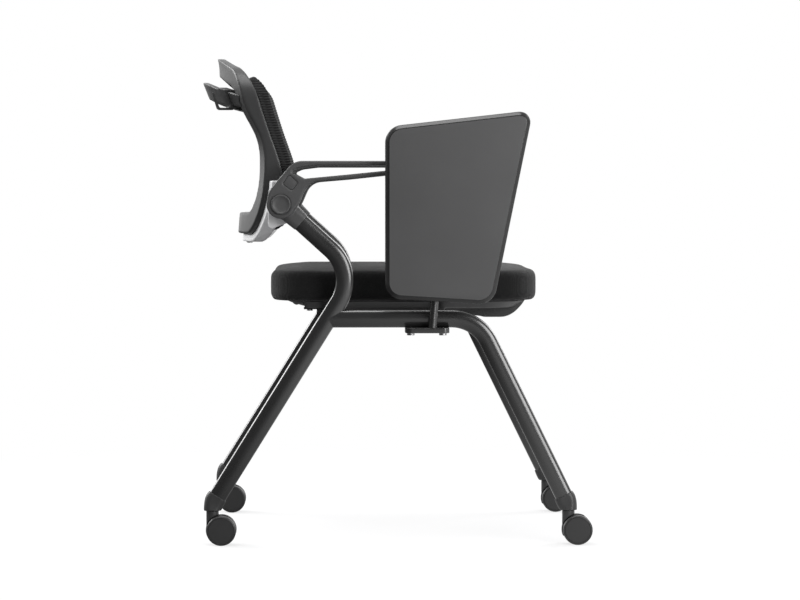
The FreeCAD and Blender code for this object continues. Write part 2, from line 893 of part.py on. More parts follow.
def seat_screws():
    """Screws that hold the seat hinges to the pan."""
    return Part.makeCompound([screw(place, V(0, 0, 1), flange_thickness + seat_screw_length)
                              for place in seat_screw_places()])


def seat_buffers():
    """Rubber blocks under the pan that land on the front cross tube."""
    half = buffer_size / 2
    low_z = cross_z + cross_radius + seat_gap
    return Part.makeCompound([
        box(V(front_cross_x - half, s * bracket_line - half, low_z),
            V(front_cross_x + half, s * bracket_line + half, pan_low_z)) for s in (-1, 1)])


pivot = V(pivot_x, pivot_y, pivot_z)
pivot_axis = V(0, -math.sqrt(0.5), math.sqrt(0.5))


def post_ends():
    """Foot and head of the tablet post's middle line."""
    foot = V(post_base_x, -post_line, rail_z - tube_depth / 2 - clamp_thickness)
    head = pivot - pivot_axis * (knuckle_length / 2)
    along = head - foot
    along.normalize()
    return foot, head - along * (knuckle_radius / math.sqrt(0.5) - post_reach), along


def tablet_post():
    """Round post that carries the tablet's pivot beside the side frame."""
    foot, head, along = post_ends()
    return rod(foot, head, post_radius)


def tablet_knuckle():
    """Slanted bearing at the head of the post."""
    foot, head, along = post_ends()
    body = rod(pivot - pivot_axis * knuckle_length, pivot, knuckle_radius)
    body = body.cut(rod(foot, head, post_radius + fixed_gap))
    return body.cut(rod(pivot - pivot_axis * (pivot_pin_inner + 1), pivot + pivot_axis,
                        pivot_pin_radius + running_gap))


def clamp_bolt_places():
    """Points under the clamp plate where its bolts enter the rail."""
    low_z = rail_z - tube_depth / 2 - clamp_thickness
    return [V(x, -side_line, low_z) for x in (clamp_x_low + clamp_bolt_margin,
                                              clamp_x_high - clamp_bolt_margin)]


def clamp_bolt_holes(shape):
    """Cut the clamp bolts' holes."""
    for place in clamp_bolt_places():
        top = place + V(0, 0, clamp_thickness + clamp_bolt_bite)
        shape = shape.cut(rod(place - V(0, 0, 1), top, clamp_bolt_radius + fixed_gap))
    return shape


def tablet_clamp():
    """Plate bolted under the right rail, with the socket for the post."""
    foot, head, along = post_ends()
    low_z = foot.z
    top_z = rail_z
    length = clamp_x_high - clamp_x_low
    low_y = -post_line - post_radius - clamp_overhang
    block = box(V(clamp_x_low, low_y, low_z),
                V(clamp_x_high, -side_line + tube_width / 2, low_z + clamp_thickness + clamp_wrap))
    saddle = oval(V(clamp_x_low - 1, -side_line, top_z), V(1, 0, 0),
                  tube_depth / 2 + fixed_gap, tube_width / 2 + fixed_gap)
    block = block.cut(Part.Face(saddle).extrude(V(length + 2, 0, 0)))
    upright = [edge for edge in block.Edges if edge.BoundBox.ZLength > clamp_thickness / 2
               and edge.BoundBox.XLength < 1e-4 and edge.BoundBox.YMax < low_y + 1]
    block = block.makeFillet(clamp_corner, upright)
    block = block.cut(rod(foot - along * 2, head, post_radius + fixed_gap))
    return clamp_bolt_holes(block).Solids[0]


def clamp_bolts():
    """Bolts that hold the clamp plate up to the rail."""
    bolts = []
    for place in clamp_bolt_places():
        head = rod(place - V(0, 0, clamp_bolt_head), place, clamp_bolt_head_radius)
        shank = rod(place, place + V(0, 0, clamp_thickness + clamp_bolt_bite), clamp_bolt_radius)
        bolts.append(head.fuse(shank).removeSplitter())
    return Part.makeCompound(bolts)


def plate_face_y():
    """Y of the tablet plate's face towards the post."""
    return pivot_y - plate_offset


def plate_screw_places():
    """Points on the tablet plate's inner face where its screws enter."""
    places = []
    for x in (pivot_x - plate_half_width + plate_screw_margin,
              pivot_x + plate_half_width - plate_screw_margin):
        for z in (plate_low_z + plate_screw_margin, plate_high_z - plate_screw_margin):
            places.append(V(x, plate_face_y(), z))
    return places


def plate_screw_holes(shape):
    """Cut the tablet screws' holes."""
    for place in plate_screw_places():
        end = place - V(0, plate_thickness + plate_screw_length, 0)
        shape = shape.cut(rod(place + V(0, 1, 0), end, screw_radius + fixed_gap))
    return shape


def tablet_hinge():
    """Slanted boss on a plate that carries the board and turns on the knuckle."""
    face_y = plate_face_y()
    corners = [
        (pivot_x - plate_half_width, plate_low_z, plate_corner),
        (pivot_x + plate_half_width, plate_low_z, plate_corner),
        (pivot_x + plate_half_width, plate_high_z, plate_corner),
        (pivot_x - plate_half_width, plate_high_z, plate_corner),
    ]
    plate = side_prism(corners, face_y - plate_thickness, face_y)
    boss = rod(pivot + pivot_axis * seat_gap, pivot + pivot_axis * knuckle_radius * 4, knuckle_radius)
    reach = knuckle_radius * 6
    boss = boss.common(box(V(pivot_x - reach, face_y - plate_thickness / 2, pivot_z - reach),
                           V(pivot_x + reach, pivot_y + reach, pivot_z + reach)))
    body = plate.fuse(boss).removeSplitter()
    body = body.cut(rod(pivot, pivot + pivot_axis * pivot_pin_outer, pivot_pin_radius + fixed_gap))
    return plate_screw_holes(body).Solids[0]


def tablet_pin():
    """Slanted pin of the tablet, fixed in the boss and turning in the knuckle."""
    return rod(pivot - pivot_axis * pivot_pin_inner, pivot + pivot_axis * pivot_pin_outer,
               pivot_pin_radius)


def tablet_screws():
    """Screws that hold the board to its hinge plate."""
    return Part.makeCompound([screw(place, V(0, -1, 0), plate_thickness + plate_screw_length)
                              for place in plate_screw_places()])


def tablet_board():
    """Writing board, stowed upright outside the armrest, bevelled round its face."""
    inner_y = plate_face_y() - plate_thickness
    outer_y = inner_y - board_thickness
    board = side_prism([
        (board_rear_x, board_low_rear_z, board_corner),
        (board_low_front_x, board_low_front_z, board_corner),
        (board_top_front_x, board_top_front_z, board_corner),
        (board_rear_x, board_top_rear_z, board_corner),
    ], outer_y, inner_y)
    rim = [edge for edge in board.Edges if edge.BoundBox.YMax < outer_y + 1e-3]
    return plate_screw_holes(board.makeChamfer(board_bevel, rim))


def caster_body(stem_x, stem_y):
    """Caster: stem, round neck behind the wheels and spine plate between them."""
    wheel_x = stem_x + caster_trail
    top_z = socket_base_z - seat_gap
    reach = wheel_radius + fork_gap
    center = V(wheel_x, stem_y, wheel_radius)
    wide = V(0, spine_half + wheel_side_gap + wheel_width, 0)
    thin = V(0, spine_half, 0)
    start = math.radians(fork_front_angle)
    end = math.radians(fork_rear_angle)

    def rim(angle):
        return center + V(reach * math.cos(angle), 0, reach * math.sin(angle))

    fan = Part.Face(Part.Wire([
        Part.Arc(rim(start), rim((start + end) / 2), rim(end)).toShape(),
        Part.LineSegment(rim(end), center).toShape(),
        Part.LineSegment(center, rim(start)).toShape(),
    ]))
    fan.translate(-thin)
    fan = fan.extrude(thin * 2)
    eye = rod(center - thin, center + thin, axle_radius * 2)
    stem_foot = V(stem_x, stem_y, top_z)
    neck = rod(V(stem_x, stem_y, neck_low_z), stem_foot, neck_radius)
    neck = neck.cut(rod(center - wide, center + wide, reach))
    stem = rod(stem_foot, stem_foot + V(0, 0, stem_length), stem_radius)
    body = neck.fuse([fan, eye, stem]).removeSplitter()
    return body.cut(rod(center - wide, center + wide, axle_radius + fixed_gap)).Solids[0]


def caster_axle(stem_x, stem_y):
    """Axle through the spine that both wheels turn on."""
    reach = V(0, spine_half + wheel_side_gap + wheel_width - axle_cover, 0)
    center = V(stem_x + caster_trail, stem_y, wheel_radius)
    return rod(center - reach, center + reach, axle_radius)


def caster_wheel(stem_x, stem_y, side):
    """One wheel of a caster: rounded tread, dished outer face, blind axle bore."""
    inner_y = spine_half + wheel_side_gap
    outer_y = inner_y + wheel_width
    bore = axle_radius + running_gap
    nip = wheel_edge * (1 - math.sqrt(0.5))
    edges = []

    def line(a, b):
        edges.append(Part.LineSegment(V(a[0], a[1], 0), V(b[0], b[1], 0)).toShape())

    def arc(a, b, c):
        edges.append(Part.Arc(V(a[0], a[1], 0), V(b[0], b[1], 0), V(c[0], c[1], 0)).toShape())

    cover_y = outer_y - axle_cover + running_gap
    floor_y = outer_y - wheel_dish_depth
    line((bore, inner_y), (wheel_radius - wheel_edge, inner_y))
    arc((wheel_radius - wheel_edge, inner_y), (wheel_radius - nip, inner_y + nip),
        (wheel_radius, inner_y + wheel_edge))
    line((wheel_radius, inner_y + wheel_edge), (wheel_radius, outer_y - wheel_edge))
    arc((wheel_radius, outer_y - wheel_edge), (wheel_radius - nip, outer_y - nip),
        (wheel_radius - wheel_edge, outer_y))
    line((wheel_radius - wheel_edge, outer_y), (wheel_dish_outer, outer_y))
    line((wheel_dish_outer, outer_y), (wheel_dish_outer - wheel_dish_depth, floor_y))
    line((wheel_dish_outer - wheel_dish_depth, floor_y), (wheel_dish_inner, floor_y))
    line((wheel_dish_inner, floor_y), (wheel_dish_inner - 1, outer_y))
    line((wheel_dish_inner - 1, outer_y), (0, outer_y))
    line((0, outer_y), (0, cover_y))
    line((0, cover_y), (bore, cover_y))
    line((bore, cover_y), (bore, inner_y))
    wheel = Part.Face(Part.Wire(edges)).revolve(V(0, 0, 0), V(0, 1, 0), 360)
    if side < 0:
        wheel.rotate(V(0, 0, 0), V(0, 0, 1), 180)
    wheel.translate(V(stem_x + caster_trail, stem_y, wheel_radius))
    return wheel


def save(name, shape):
    """Write one piece to its own file."""
    shape.exportStep("parts/" + name + ".step")


def save_pair(name, right_shape):
    """Write a right-hand piece and its mirrored left-hand partner."""
    save(name + "_right", right_shape)
    save(name + "_left", mirrored(right_shape))


def save_casters():
    """Write the four casters, each with its body, axle and two wheels, and the leg sockets."""
    corners = [("rear", -1, rear_foot, knee), ("front", 1, front_foot, front_corner)]
    for row, fore, foot, corner in corners:
        stem_x = fore * wheelbase / 2
        save_pair(row + "_leg_socket", leg_socket(foot, corner, stem_x))
        for side_name, side in (("right", -1), ("left", 1)):
            stem_y = side * side_line
            caster = row + "_" + side_name + "_caster"
            save(caster + "_body", caster_body(stem_x, stem_y))
            save(caster + "_axle", caster_axle(stem_x, stem_y))
            save(caster + "_inner_wheel", caster_wheel(stem_x, stem_y, -side))
            save(caster + "_outer_wheel", caster_wheel(stem_x, stem_y, side))


os.makedirs("parts", exist_ok=True)

save_pair("rear_leg_tube", rear_tube())
save("front_leg_tube_right", clamp_bolt_holes(front_tube()))
save("front_leg_tube_left", mirrored(front_tube()))
save("rear_cross_tube", cross_tube(rear_cross_x))
save("front_cross_tube", cross_tube(front_cross_x))
save_casters()

save_pair("armrest", armrest())
save_pair("hub_cap", hub_cap())
save_pair("arm_plug", arm_plug())
save_pair("recline_pin", pivot_pin())
save_pair("recline_bush", recline_bush())

save("back_frame", back_frame())
save("back_mesh", back_mesh())
save("back_handle", back_handle())
save("bag_hook", bag_hook())
save("back_carrier", back_carrier())
save("carrier_screws", carrier_screws())

save("seat_cushion", seat_cushion())
save("seat_pan", seat_pan())
save_pair("seat_hinge", seat_bracket())
save("seat_hinge_screws", seat_screws())
save("seat_buffers", seat_buffers())

save("tablet_clamp", tablet_clamp())
save("tablet_clamp_bolts", clamp_bolts())
save("tablet_post", tablet_post())
save("tablet_knuckle", tablet_knuckle())
save("tablet_hinge", tablet_hinge())
save("tablet_pin", tablet_pin())
save("tablet_screws", tablet_screws())
save("tablet_board", tablet_board())
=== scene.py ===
import json
import math

import bpy
import numpy as np
from mathutils import Matrix, Vector
from mathutils.bvhtree import BVHTree


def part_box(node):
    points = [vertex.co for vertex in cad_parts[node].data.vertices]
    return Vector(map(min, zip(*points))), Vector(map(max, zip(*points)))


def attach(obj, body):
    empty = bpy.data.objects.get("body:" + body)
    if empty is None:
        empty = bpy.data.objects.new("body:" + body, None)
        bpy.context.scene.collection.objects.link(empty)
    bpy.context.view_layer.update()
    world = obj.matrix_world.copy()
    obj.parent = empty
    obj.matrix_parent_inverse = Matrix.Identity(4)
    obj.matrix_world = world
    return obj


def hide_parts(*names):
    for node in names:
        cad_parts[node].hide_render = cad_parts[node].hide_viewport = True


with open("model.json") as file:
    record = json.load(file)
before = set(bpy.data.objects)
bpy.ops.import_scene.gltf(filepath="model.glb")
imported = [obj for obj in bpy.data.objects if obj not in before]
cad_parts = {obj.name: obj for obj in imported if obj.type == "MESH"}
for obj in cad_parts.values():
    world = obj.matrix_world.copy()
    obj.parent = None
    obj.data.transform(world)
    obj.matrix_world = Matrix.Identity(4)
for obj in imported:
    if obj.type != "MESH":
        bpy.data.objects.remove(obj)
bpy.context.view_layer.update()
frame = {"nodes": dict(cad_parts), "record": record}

# Looks of a nesting training chair with a writing tablet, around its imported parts.
# Metres: X forward, Y to the sitter's left, Z up, floor at Z 0.

mm = 0.001

# Side frames
side_line = 252 * mm
tube_depth = 30 * mm
tube_width = 18 * mm
tube_crown = 2.5
bend_radius = 70 * mm
foot_z = 74 * mm
hub = Vector((-184 * mm, -side_line, 573 * mm))
knee = Vector((-57 * mm, -side_line, 458 * mm))
rail_z = 381 * mm
front_corner = Vector((146 * mm, -side_line, rail_z))
foot_inset = 3.8 * mm
tube_start = 28 * mm
tube_points = 64
bend_steps = 16

# Casters
wheelbase = 600 * mm
caster_trail = 15 * mm
wheel_radius = 25 * mm
wheel_width = 16 * mm
wheel_inner = 3.9 * mm
wheel_edge = 3 * mm
wheel_groove = 0.5 * mm
wheel_groove_depth = 0.7 * mm
wheel_face_rise = 0.5 * mm
wheel_ring = 8 * mm
wheel_outer_crown = 0.2 * mm
wheel_inner_crown = 0.1 * mm
round_points = 72

# Seat
seat_rear_x = -208 * mm
seat_front_x = 257 * mm
seat_half_width = 224 * mm
cushion_low_z = 409 * mm
cushion_high_z = 465 * mm
cushion_swell = 2 * mm
cushion_crown = 5 * mm
crown_run = 58 * mm
cushion_top_round = 9 * mm
cushion_bottom_round = 9 * mm
cushion_voxel = 5 * mm
cloth_pressure = 4.0
cloth_frames = 20
rim_steps = 6
corner_steps = 14
side_draw = 5 * mm
front_round = 95 * mm
rear_round = 78 * mm

# Seat pan
pan_low_z = 396 * mm
pan_overlap = 2 * mm
rail_low_z = 390.5 * mm
rail_rear_x = -95 * mm
rail_line = 181 * mm
rail_half = 3 * mm
belly_rear_x = 93 * mm
belly_half_width = 150 * mm
belly_low_z = 379 * mm
belly_heel_x = 166 * mm
belly_toe_x = 190 * mm
belly_front_x = 232 * mm
belly_front_z = 407 * mm
belly_curve = 2.2
belly_steps = 8
lip_rear_x = 150 * mm
tail_front_x = -145 * mm
tail_rise = 8 * mm

# Hubs and arms
collar_end = 46 * mm
collar_wall = 0.9 * mm
cap_radius = 16.5 * mm
cap_face_y = -272.4 * mm
cap_thickness = 4 * mm
cap_edge = 1.1 * mm
cap_rim = 1.3 * mm
cap_step_run = 1.4 * mm
cap_step_drop = 1.2 * mm
cap_dish_run = 5 * mm
cap_dish_drop = 0.5 * mm
cap_middle_run = 4 * mm
cap_middle_drop = 0.2 * mm
plug_share = 0.9
plug_edge = 0.5 * mm

# Back panel
panel_half_width = 215 * mm
panel_low_z = 529 * mm
panel_high_z = 790 * mm
panel_thickness = 17 * mm
panel_corner = 80 * mm
panel_top_corner = 30 * mm
panel_roll_height = 30 * mm
panel_roll_depth = 11 * mm
rib_pitch = 4.4 * mm
rib_depth = 0.4 * mm
rows_per_rib = 6
panel_columns = 48
panel_least_half = 20 * mm
look_steps = 12
look_inwards = 0.008

# Writing board
board_inner_y = -294 * mm
board_thickness = 18 * mm
board_corner = 26 * mm
board_bevel = 6 * mm
board_edge = 1.1 * mm
board_rear_x = -10 * mm
board_low_front_x = 170 * mm
board_high_front_x = 236 * mm
board_low_rear_z = 417 * mm
board_low_front_z = 406 * mm
board_high_front_z = 730 * mm
board_high_rear_z = 702 * mm

# Cloth patterns
yarn_pitch = 1.3 * mm
loop_pitch = 2.4 * mm

# Studio, in metres and degrees, the lens in millimetres
floor_size = 30
sensor_width = 36.0
focal_length = 130.5
camera_place = (-0.088, -5.124, 0.597)
camera_tilt = 90 - 2.17
camera_turn = -1.22


class Value:
    """A shader value that can be added, multiplied and sent through other nodes."""

    def __init__(self, tree, socket):
        self.tree = tree
        self.socket = socket

    def node(self, kind, inputs, output=0, **settings):
        """Add a node, set or link its inputs, and give one of its outputs."""
        made = self.tree.nodes.new("ShaderNode" + kind)
        for key, value in settings.items():
            setattr(made, key, value)
        for key, value in inputs.items():
            if isinstance(value, Value):
                self.tree.links.new(value.socket, made.inputs[key])
            else:
                made.inputs[key].default_value = value
        return Value(self.tree, made.outputs[output])

    def math(self, operation, other=0.0):
        return self.node("Math", {0: self, 1: other}, operation=operation)

    def __add__(self, other):
        return self.math("ADD", other)

    def __sub__(self, other):
        return self.math("SUBTRACT", other)

    def __rsub__(self, other):
        return self.node("Math", {0: other, 1: self}, operation="SUBTRACT")

    def __mul__(self, other):
        return self.math("MULTIPLY", other)

    __radd__ = __add__
    __rmul__ = __mul__

    def noise(self, scale, detail=2.0):
        return self.node("TexNoise", {"Vector": self, "Scale": scale, "Detail": detail})

    def ramp(self, low, high, start, end):
        """Carry the range low to high onto start to end, smoothly and clamped."""
        return self.node("MapRange", {"Value": self, 1: low, 2: high, 3: start, 4: end},
                         interpolation_type="SMOOTHSTEP")

    def tint(self, dark, light):
        """Mix two colours by this value."""
        return self.node("Mix", {0: self, 6: (*dark, 1), 7: (*light, 1)}, output=2, data_type="RGBA")

    def feed(self, shader, socket):
        self.tree.links.new(self.socket, shader.inputs[socket])

    def bump(self, shader, strength, distance):
        normal = self.node("Bump", {"Height": self, "Strength": strength, "Distance": distance})
        normal.feed(shader, "Normal")


def new_finish(name, **values):
    """Material with one principled shader; gives it, the shader and the object coordinates."""
    made = bpy.data.materials.new(name)
    made.use_nodes = True
    tree = made.node_tree
    shader = tree.nodes["Principled BSDF"]
    for key, value in values.items():
        shader.inputs[key.replace("_", " ")].default_value = value
    place = Value(tree, tree.nodes.new("ShaderNodeTexCoord").outputs["Object"])
    return made, shader, place


def grey(level):
    return (level, level, level * 1.01)


def moulded_finish(name, dark, light, roughness, grain, depth):
    """Moulded plastic: spark-eroded grain, faint clouding and rubbed shiny patches."""
    made, shader, place = new_finish(name, IOR=1.48)
    cloud = place.noise(9.0, 4.0)
    cloud.ramp(0.3, 0.7, 0.0, 1.0).tint(grey(dark), grey(light)).feed(shader, "Base Color")
    fine = place.noise(grain, 3.0)
    (cloud.ramp(0.35, 0.75, roughness + 0.05, roughness - 0.05) + fine * 0.04).feed(shader, "Roughness")
    fine.bump(shader, 0.15, depth)
    return made


def board_finish():
    """Grained grey laminate; its bevel and edges, where the rim attribute says so, are smoother and their
    colour is darkened as painted shade.
    """
    made, shader, place = new_finish("tablet_grey", IOR=1.5)
    rim = place.node("Attribute", {}, output=2, attribute_name="rim")
    cloud = place.noise(9.0, 4.0).ramp(0.3, 0.7, 0.0, 0.008)
    # Painted shade: the colour is darker on the bevel and edges, where rim is set
    shade = cloud + 0.09 - 0.072 * rim
    shade.node("CombineColor", {0: shade, 1: shade, 2: shade * 1.01}).feed(shader, "Base Color")
    fine = place.noise(2900.0, 3.0)
    (0.44 + 0.04 * fine - 0.2 * rim).feed(shader, "Roughness")
    (fine * (1 - 0.8 * rim)).bump(shader, 0.2, 0.2 * mm)
    return made


def coated_finish():
    """Satin black powder coat: orange peel, and a slightly uneven gloss."""
    made, shader, place = new_finish("black_coated_steel", Base_Color=(*grey(0.016), 1), IOR=1.6,
                                     Coat_Weight=1.0, Coat_Roughness=0.15)
    patches = place.noise(14.0, 3.0)
    patches.ramp(0.3, 0.7, 0.24, 0.34).feed(shader, "Roughness")
    place.noise(650.0).bump(shader, 0.015, 0.3 * mm)
    return made


def fabric_finish():
    """Plain upholstery cloth: crossing yarns, small slubs and a soft nap."""
    made, shader, place = new_finish("seat_fabric", Roughness=0.86, IOR=1.3)
    shader.inputs["Sheen Weight"].default_value = 0.18
    shader.inputs["Sheen Roughness"].default_value = 0.45
    axes = [place.node("SeparateXYZ", {0: place}, output=axis) for axis in range(3)]
    waves = [(axis * (2 * math.pi / yarn_pitch)).math("SINE") for axis in axes]
    weave = waves[0] * waves[1] + waves[1] * waves[2] + waves[2] * waves[0]
    slub = place.noise(420.0, 3.0)
    wear = place.noise(7.0, 3.0)
    tone = weave * 0.12 + slub * 0.6 + wear * 0.35
    tone.ramp(0.2, 0.85, 0.0, 1.0).tint(grey(0.006), grey(0.02)).feed(shader, "Base Color")
    (weave * 0.35 + slub).bump(shader, 0.55, 0.5 * mm)
    return made


def knit_finish():
    """Knitted back panel: rows of loops along the ribs, with painted shade darkening the grooves between
    them.
    """
    made, shader, place = new_finish("knit_mesh", Roughness=0.8, IOR=1.35)
    axes = [place.node("SeparateXYZ", {0: place}, output=axis) for axis in range(3)]
    loops = (axes[1] * (2 * math.pi / loop_pitch)).math("SINE")
    rows = (axes[2] * (2 * math.pi / rib_pitch)).math("COSINE")
    slub = place.noise(500.0, 3.0)
    height = rows * 0.5 + loops * 0.22 + slub * 0.3
    # Painted shade: the colour follows the rib height, so it is darker in the grooves between ribs; loops
    # and slub vary the tone
    height.ramp(-0.4, 0.8, 0.0, 1.0).tint(grey(0.006), grey(0.035)).feed(shader, "Base Color")
    height.bump(shader, 0.5, 0.6 * mm)
    return made


def casting_finish():
    """Silver paint over a casting: metal flake and a faint uneven skin."""
    made, shader, place = new_finish("silver_casting", Metallic=0.1, IOR=1.5)
    flake = place.noise(1800.0)
    skin = place.noise(40.0, 3.0)
    (flake * 0.5 + skin * 0.5).tint(grey(0.76), grey(0.88)).feed(shader, "Base Color")
    flake.ramp(0.3, 0.7, 0.34, 0.5).feed(shader, "Roughness")
    skin.bump(shader, 0.06, mm)
    return made


def plated_finish():
    """Zinc-plated steel with fine turning marks."""
    made, shader, place = new_finish("plated_steel", Metallic=1.0)
    grain = place.noise(900.0, 3.0)
    grain.tint(grey(0.42), grey(0.6)).feed(shader, "Base Color")
    grain.ramp(0.3, 0.7, 0.26, 0.42).feed(shader, "Roughness")
    grain.bump(shader, 0.08, 0.3 * mm)
    return made


finishes = {
    "black_coated_steel": coated_finish(),
    "moulded_black": moulded_finish("moulded_black", dark=0.04, light=0.052, roughness=0.36,
                                    grain=2600.0, depth=0.2 * mm),
    "arm_plastic": moulded_finish("arm_plastic", dark=0.074, light=0.088, roughness=0.4,
                                  grain=2400.0, depth=0.3 * mm),
    "tablet_grey": board_finish(),
    "wheel_plastic": moulded_finish("wheel_plastic", dark=0.034, light=0.044, roughness=0.36,
                                    grain=1800.0, depth=0.2 * mm),
    "rubber_black": moulded_finish("rubber_black", dark=0.012, light=0.018, roughness=0.7,
                                   grain=1500.0, depth=0.4 * mm),
    "silver_casting": casting_finish(),
    "seat_fabric": fabric_finish(),
    "knit_mesh": knit_finish(),
    "plated_steel": plated_finish(),
}


def paint(piece, slot):
    """Give a piece one finish."""
    piece.data.materials.clear()
    piece.data.materials.append(finishes[slot])


# Material slot and body of each CAD node
slots = {piece["node"]: piece["material_slot"] for piece in frame["record"]["subparts"]}
body_of = {node: body for body, nodes in frame["record"]["behaviour"]["bodies"].items() for node in nodes}


def leave_edit():
    """Back to object mode with nothing selected."""
    if bpy.context.mode != "OBJECT":
        bpy.ops.object.mode_set(mode="OBJECT")
    bpy.ops.object.select_all(action="DESELECT")


def added(name, place):
    """Name the primitive just added and carry its place into its mesh."""
    piece = bpy.context.object
    piece.name = name
    piece.data.name = name
    piece.data.transform(place)
    return piece


def pick(piece, kind, test):
    """In edit mode, select the vertices, edges or faces that pass a test."""
    bpy.context.view_layer.objects.active = piece
    bpy.ops.object.mode_set(mode="EDIT")
    bpy.ops.mesh.select_mode(type=kind)
    bpy.ops.mesh.select_all(action="DESELECT")
    bpy.ops.object.mode_set(mode="OBJECT")
    mesh = piece.data
    for item in {"VERT": mesh.vertices, "EDGE": mesh.edges, "FACE": mesh.polygons}[kind]:
        item.select = test(item)
    bpy.ops.object.mode_set(mode="EDIT")


def extrude(step):
    bpy.ops.mesh.extrude_region_move(TRANSFORM_OT_translate={"value": step})


def face_out():
    """Close open ends and turn all faces outwards."""
    bpy.ops.mesh.select_all(action="SELECT")
    bpy.ops.mesh.fill_holes(sides=0)
    bpy.ops.mesh.normals_make_consistent(inside=False)


def apply_modifier(piece, kind, **settings):
    modifier = piece.modifiers.new(kind.lower(), kind)
    for key, value in settings.items():
        setattr(modifier, key, value)
    leave_edit()
    bpy.context.view_layer.objects.active = piece
    bpy.ops.object.modifier_apply(modifier=modifier.name)


def edge_ends(piece, edge):
    return [piece.data.vertices[index].co for index in edge.vertices]


def faces_right(face):
    return face.normal.y < -0.999


def sink(*steps):
    """Inset the selected faces step by step, each by a width and a rise."""
    for width, rise in steps:
        bpy.ops.mesh.inset(thickness=width, depth=rise)


def twin(piece, name, place):
    """Copy with its own mesh, moved by a matrix; a mirrored one has its faces turned back."""
    mesh = piece.data.copy()
    mesh.transform(place)
    if place.determinant() < 0:
        mesh.flip_normals()
    copy = bpy.data.objects.new(name, mesh)
    bpy.context.scene.collection.objects.link(copy)
    return copy


def dress(piece, slot, body, *nodes, sharp=35):
    """Smooth shading, finish, body and the CAD nodes that the piece stands for."""
    leave_edit()
    piece.select_set(True)
    bpy.context.view_layer.objects.active = piece
    bpy.ops.object.shade_smooth_by_angle(angle=math.radians(sharp))
    paint(piece, slot)
    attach(piece, body)
    if nodes:
        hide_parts(*nodes)


# Mirror that makes a left piece from a right one
left_side = Matrix.Scale(-1, 4, (0, 1, 0))


def bent_tube(name, start, corner, end):
    """Oval tube with slightly crowned sides, from start to end with one bend at the corner."""
    first = (corner - start).normalized()
    second = (end - corner).normalized()
    turn = first.angle(second)
    trim = bend_radius * math.tan(turn / 2)
    axis = first.cross(second).normalized()
    arc_start = corner - first * trim
    leave_edit()
    bpy.ops.mesh.primitive_circle_add(vertices=tube_points, radius=1)
    for vertex in bpy.context.object.data.vertices:
        x, y = (math.copysign(abs(part) ** (2 / tube_crown), part) for part in vertex.co.xy)
        vertex.co = (x * tube_depth / 2, y * tube_width / 2, 0)
    tube = added(name, Matrix.Translation(start) @ Matrix.Rotation(math.atan2(first.x, first.z), 4, "Y"))
    pick(tube, "EDGE", lambda edge: True)
    extrude(arc_start - start)
    middle = arc_start + axis.cross(first) * bend_radius
    bpy.ops.mesh.spin(steps=bend_steps, angle=-turn, axis=axis, center=middle)
    extrude(end - corner - second * trim)
    face_out()
    leave_edit()
    return tube


def leg_tubes():
    """Both tubes of each side frame."""
    foot_x = wheelbase / 2 - foot_inset
    rear_foot = Vector((-foot_x, -side_line, foot_z))
    front_foot = Vector((foot_x, -side_line, foot_z))
    weld = knee.lerp(rear_foot, (knee.z - rail_z) / (knee.z - foot_z))
    upper = (knee - hub).normalized()
    for row, points in (("rear", (hub + upper * tube_start, knee, rear_foot)),
                        ("front", (weld, front_corner, front_foot))):
        right = bent_tube(row + "_tube_right", *points)
        left = twin(right, row + "_tube_left", left_side)
        dress(right, "black_coated_steel", "frame", row + "_leg_tube_right")
        dress(left, "black_coated_steel", "frame", row + "_leg_tube_left")


def caster_wheels():
    """One wheel modelled about the origin, its face towards -Y, copied to eight places."""
    leave_edit()
    bpy.ops.mesh.primitive_cylinder_add(vertices=round_points, radius=wheel_radius, depth=wheel_width)
    wheel = added("wheel", Matrix.Rotation(math.pi / 2, 4, "X"))
    pick(wheel, "EDGE", lambda edge: abs(edge_ends(wheel, edge)[0].y - edge_ends(wheel, edge)[1].y) < mm)
    bpy.ops.mesh.bevel(offset=wheel_edge, segments=5)
    pick(wheel, "FACE", faces_right)
    sink((wheel_groove, -wheel_groove_depth), (wheel_groove, wheel_face_rise),
         (wheel_ring, wheel_outer_crown), (wheel_ring, wheel_inner_crown))
    leave_edit()
    for row, fore in (("rear", -1), ("front", 1)):
        for side_name, side in (("right", -1), ("left", 1)):
            for place_name, out in (("outer", side), ("inner", -side)):
                y = side * side_line + out * (wheel_inner + wheel_width / 2)
                spot = Matrix.Translation((fore * wheelbase / 2 + caster_trail, y, wheel_radius))
                turn = Matrix.Rotation(math.pi if out > 0 else 0, 4, "Z")
                name = "%s_%s_%s_wheel" % (row, side_name, place_name)
                copy = twin(wheel, name + "_disc", spot @ turn)
                dress(copy, "wheel_plastic", name,
                      "%s_%s_caster_%s_wheel" % (row, side_name, place_name), sharp=30)
    bpy.data.objects.remove(wheel)


def seat_outline(name, shrink, height):
    """Flat seat plan, drawn in along its sides, with rounded corners."""
    half_x = (seat_front_x - seat_rear_x) / 2 - shrink
    half_y = seat_half_width - shrink
    middle = (seat_front_x + seat_rear_x) / 2
    leave_edit()
    bpy.ops.mesh.primitive_plane_add(size=2)
    plan = added(name, Matrix.Translation((middle, 0, height)) @ Matrix.Diagonal((half_x, half_y, 1, 1)))
    pick(plan, "FACE", lambda face: True)
    bpy.ops.mesh.subdivide(number_cuts=1)
    leave_edit()
    for vertex in plan.data.vertices:
        if abs(vertex.co.x - middle) < mm:
            vertex.co.y *= 1 - side_draw / half_y
        if abs(vertex.co.y) < mm:
            vertex.co.x -= side_draw / 2 * (vertex.co.x - middle) / half_x
    for fore, radius in ((1, front_round), (-1, rear_round)):
        pick(plan, "VERT", lambda vertex: (vertex.co.x - middle) * fore > half_x - mm
             and abs(vertex.co.y) > half_y - mm)
        bpy.ops.mesh.bevel(offset=radius - shrink, segments=corner_steps, affect="VERTICES")
    return plan


